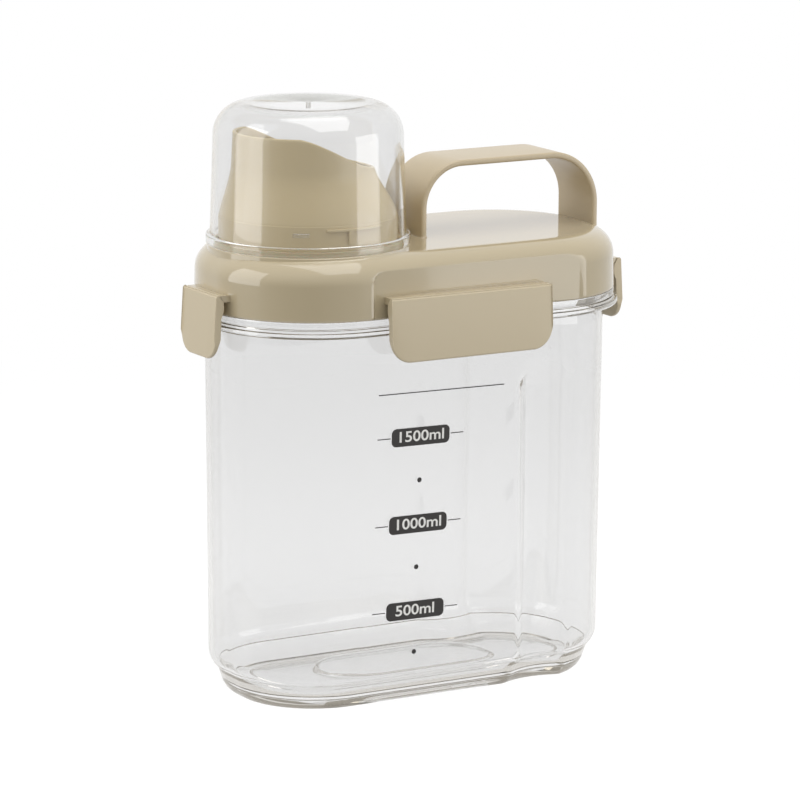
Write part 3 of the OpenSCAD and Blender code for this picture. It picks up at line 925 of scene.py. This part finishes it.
CAMERA_AT = (-947.1, -1630.1, 508.8)
CAMERA_AZIMUTH = radians(-30.09)
CAMERA_DOWN = radians(11.71)
CAMERA_ROLL = radians(-0.31)
LENS_MM = 206.71
SENSOR_MM = 36

FLOOR_R = 860
FLOOR_Z = -0.05
FLOOR_STEPS = 96
PAPER_FADE = (0.2, 0.7)      # metres from the jar between which the paper goes over into white
PAPER_LEVEL = 0.42           # what the paper gives back of the light on it, near the jar
GLOW_LEVEL = 0.66            # what it adds to be white in the picture, near the jar

ROOM_LEVEL = 0.66            # even light of the room on everything
THROUGH_WHITE = 0.7          # how white the surround is behind clear plastic
CEILING = 0.95
CEILING_FADE = (-0.1, 0.85)  # upward slope between which the surround goes over into the ceiling

# Level of the surround in reflections, by the angle to the right of the camera's side
SURROUND = [(-180, 1.0), (-118, 0.95), (-100, 0.6), (-60, 0.6), (-44, 0.3), (-25, 0.12),
            (5, 0.12), (25, 0.35), (50, 0.6), (60, 0.9), (95, 0.8), (115, 0.75), (145, 0.9),
            (180, 1.0)]
WHITE = (1, 1, 1, 1)


def add_camera():
    """The camera at the photograph's place, held a little out of level."""
    data = bpy.data.cameras.new("camera")
    data.sensor_width = SENSOR_MM
    data.lens = LENS_MM
    data.clip_end = 20   # metres
    level = cos(CAMERA_DOWN)
    back = Vector((sin(CAMERA_AZIMUTH) * level, -cos(CAMERA_AZIMUTH) * level, sin(CAMERA_DOWN)))
    right = Vector((cos(CAMERA_AZIMUTH), sin(CAMERA_AZIMUTH), 0))
    up = back.cross(right)
    turned_right = right * cos(CAMERA_ROLL) - up * sin(CAMERA_ROLL)
    turned_up = right * sin(CAMERA_ROLL) + up * cos(CAMERA_ROLL)
    place = Matrix((turned_right, turned_up, back)).transposed().to_4x4()
    place.translation = Vector(CAMERA_AT) * MM
    camera = bpy.data.objects.new("camera", data)
    camera.matrix_world = place
    bpy.context.scene.collection.objects.link(camera)
    bpy.context.scene.camera = camera


def add_floor():
    """A sheet of white paper that keeps the jar's shadow and goes over into the surround.

    For the camera, and in reflections and clear plastic, it also glows, which makes it white.
    The black transparent shader is the glow of every other ray: none.
    """
    new, tree = material("white_paper")
    rays = node(tree, "ShaderNodeLightPath")
    out = node(tree, "ShaderNodeVectorMath", {"operation": "LENGTH"}, {0: object_place(tree)})

    def fading(near, far):
        return node(tree, "ShaderNodeMapRange", {"interpolation_type": "SMOOTHSTEP"},
                    {"Value": out.outputs["Value"], "From Min": PAPER_FADE[0],
                     "From Max": PAPER_FADE[1], "To Min": near, "To Max": far})

    paper = node(tree, "ShaderNodeBsdfDiffuse",
                 inputs={"Color": fading(PAPER_LEVEL, 0.0).outputs[0]})
    glow = node(tree, "ShaderNodeEmission",
                inputs={"Color": WHITE, "Strength": fading(GLOW_LEVEL, 1.0).outputs[0]})
    seen = node(tree, "ShaderNodeMath", {"operation": "MAXIMUM"},
                {0: rays.outputs["Is Camera Ray"], 1: rays.outputs["Is Transmission Ray"]})
    mirrored = node(tree, "ShaderNodeMath", {"operation": "MAXIMUM"},
                    {0: seen.outputs[0], 1: rays.outputs["Is Glossy Ray"]})
    dark = node(tree, "ShaderNodeBsdfTransparent", inputs={"Color": (0, 0, 0, 1)})
    lit = node(tree, "ShaderNodeMixShader",
               inputs={0: mirrored.outputs[0], 1: dark.outputs[0], 2: glow.outputs[0]})
    both = node(tree, "ShaderNodeAddShader", inputs={0: paper.outputs[0], 1: lit.outputs[0]})
    node(tree, "ShaderNodeOutputMaterial", inputs={"Surface": both.outputs[0]})
    points, faces = loft([ring(circle(0, FLOOR_STEPS), r, FLOOR_Z) for r in (1, FLOOR_R)],
                         close_ends=False)
    faces.append(tuple(reversed(range(FLOOR_STEPS))))
    piece("floor", (points, faces), new, closed=False)


def around(angle, distance, height):
    """A place in metres at an angle to the right of the camera's side of the jar."""
    a = CAMERA_AZIMUTH + radians(angle)
    return Vector((sin(a) * distance, -cos(a) * distance, height))


def add_softbox(name, place, target, width, height, level):
    """A flat lamp of an even level, where 1 is as bright as the white surround; in metres."""
    data = bpy.data.lights.new(name, "AREA")
    data.shape = "RECTANGLE"
    data.size = width
    data.size_y = height
    data.energy = level * width * height * pi
    lamp = bpy.data.objects.new(name, data)
    lamp.location = place
    lamp.rotation_euler = (Vector(target) - Vector(place)).to_track_quat("-Z", "Y").to_euler()
    lamp.visible_camera = False
    bpy.context.scene.collection.objects.link(lamp)


def add_surround():
    """What lies round the jar, for each kind of ray.

    The camera meets plain white, and reflections meet a surround that is darkest on the
    camera's side. Rays through clear plastic meet a mix of the two, and all others an even grey.
    """
    world = bpy.data.worlds.new("studio")
    bpy.context.scene.world = world
    world.use_nodes = True
    tree = world.node_tree
    tree.nodes.clear()
    rays = node(tree, "ShaderNodeLightPath")
    way = node(tree, "ShaderNodeTexCoord").outputs["Generated"]
    turned_way = node(tree, "ShaderNodeVectorRotate", {"rotation_type": "Z_AXIS"},
                      {"Vector": way, "Angle": -CAMERA_AZIMUTH})
    parts = node(tree, "ShaderNodeSeparateXYZ", inputs={0: turned_way.outputs[0]})
    towards = node(tree, "ShaderNodeMath", {"operation": "MULTIPLY"},
                   {0: parts.outputs["Y"], 1: -1.0})
    round_angle = node(tree, "ShaderNodeMath", {"operation": "ARCTAN2"},
                       {0: parts.outputs["X"], 1: towards.outputs[0]})
    turn = node(tree, "ShaderNodeMapRange",
                inputs={"Value": round_angle.outputs[0], "From Min": -pi, "From Max": pi})
    ramp = node(tree, "ShaderNodeValToRGB", inputs={0: turn.outputs[0]})
    elements = ramp.color_ramp.elements
    while len(elements) < len(SURROUND):
        elements.new(0.5)
    for element, (angle, level) in zip(elements, SURROUND):
        element.position = (angle + 180) / 360
        element.color = (level, level, level, 1)
    height = node(tree, "ShaderNodeMapRange", {"interpolation_type": "SMOOTHSTEP"},
                  {"Value": parts.outputs["Z"], "From Min": CEILING_FADE[0],
                   "From Max": CEILING_FADE[1]})
    ceiling = node(tree, "ShaderNodeMix", {"data_type": "RGBA"},
                   {0: height.outputs[0], 6: ramp.outputs[0], 7: (CEILING, CEILING, CEILING, 1)})
    around_jar = node(tree, "ShaderNodeBackground",
                      inputs={"Color": ceiling.outputs[2], "Strength": 1.0})
    room = node(tree, "ShaderNodeBackground", inputs={"Color": WHITE, "Strength": ROOM_LEVEL})
    white = node(tree, "ShaderNodeBackground", inputs={"Color": WHITE, "Strength": 1.0})
    seen = node(tree, "ShaderNodeMath", {"operation": "MAXIMUM"},
                {0: rays.outputs["Is Glossy Ray"], 1: rays.outputs["Is Transmission Ray"]})
    by_ray = node(tree, "ShaderNodeMixShader",
                  inputs={0: seen.outputs[0], 1: room.outputs[0], 2: around_jar.outputs[0]})
    through = node(tree, "ShaderNodeMath", {"operation": "MULTIPLY"},
                   {0: rays.outputs["Is Transmission Ray"], 1: THROUGH_WHITE})
    straight_on = node(tree, "ShaderNodeMath", {"operation": "MAXIMUM"},
                       {0: rays.outputs["Is Camera Ray"], 1: through.outputs[0]})
    whole = node(tree, "ShaderNodeMixShader",
                 inputs={0: straight_on.outputs[0], 1: by_ray.outputs[0], 2: white.outputs[0]})
    node(tree, "ShaderNodeOutputWorld", inputs={"Surface": whole.outputs[0]})


add_camera()
add_floor()
add_surround()
add_softbox("left_softbox", around(-74, 1.1, 0.59), around(-74, 0.0, 0.59),
            width=0.78, height=1.1, level=2.1)
add_softbox("right_softbox", around(76, 1.3, 0.25), around(76, 0.0, 0.25),
            width=0.8, height=0.9, level=1.8)
add_softbox("overhead_softbox", (0.13, -0.33, 1.3), (0.13, -0.33, 0.0),
            width=0.8, height=1.35, level=1.9)
bpy.context.scene.view_settings.view_transform = "Standard"
bpy.context.view_layer.update()
